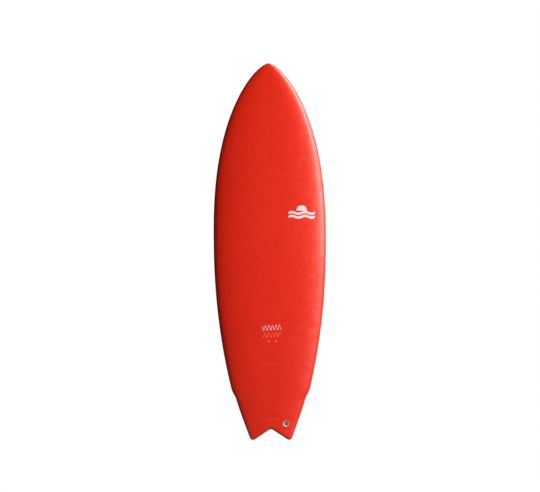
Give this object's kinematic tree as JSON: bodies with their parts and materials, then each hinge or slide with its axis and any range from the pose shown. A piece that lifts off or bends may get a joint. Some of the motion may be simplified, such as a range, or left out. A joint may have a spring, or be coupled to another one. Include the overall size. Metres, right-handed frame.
{
  "type": "surfboard",
  "caption": "Soft-top fish surfboard with a pointed nose, winged outline, swallow tail, recessed leash plug and removable fins under a slick bottom.",
  "frame": {"origin": "centre line of the slick bottom, in the middle of its flat spot, where the board lies against a rack", "axes": "+Z towards the nose, the deck faces -Y and the bottom and fins face +Y, +X is the side of the leash plug, the right of a viewer who faces the deck with the nose up"},
  "size_m": [0.5308, 0.2219, 1.778],
  "materials": {
    "deck_foam": "satin",
    "rail_foam": "satin",
    "slick_sheet": "gloss",
    "backing_foam": "matte",
    "core_foam": "matte",
    "stringer_ply": "satin",
    "cup_plastic": "satin",
    "stainless": "satin",
    "plug_plastic": "matte",
    "fin_plastic": "satin"
  },
  "bodies": {
    "board": {"core_left": "core_foam", "core_centre": "core_foam", "core_right": "core_foam", "stringer_left": "stringer_ply", "stringer_right": "stringer_ply", "deck_skin": "deck_foam", "rail_left": "rail_foam", "rail_right": "rail_foam", "bottom_foam": "backing_foam", "bottom_slick": "slick_sheet", "leash_cup": "cup_plastic", "leash_bar": "stainless", "plug_left_front": "plug_plastic", "plug_left_rear": "plug_plastic", "plug_right_front": "plug_plastic", "plug_right_rear": "plug_plastic", "plug_centre_front": "plug_plastic", "plug_centre_rear": "plug_plastic", "screw_left_front": "stainless", "screw_left_rear": "stainless", "screw_right_front": "stainless", "screw_right_rear": "stainless", "screw_centre_front": "stainless", "screw_centre_rear": "stainless"},
    "fin_left_body": {"fin_left": "fin_plastic"},
    "fin_right_body": {"fin_right": "fin_plastic"},
    "fin_centre_body": {"fin_centre": "fin_plastic"}
  },
  "joints": [
    {"name": "fin_left_removal", "type": "slide", "parent": "board", "child": "fin_left_body", "axis": [0, 0.9973, -0.0732], "range_m": [0, 0.03]},
    {"name": "fin_right_removal", "type": "slide", "parent": "board", "child": "fin_right_body", "axis": [0, 0.9973, -0.0732], "range_m": [0, 0.03]},
    {"name": "fin_centre_removal", "type": "slide", "parent": "board", "child": "fin_centre_body", "axis": [0, 0.9948, -0.1016], "range_m": [0, 0.03]}
  ]
}
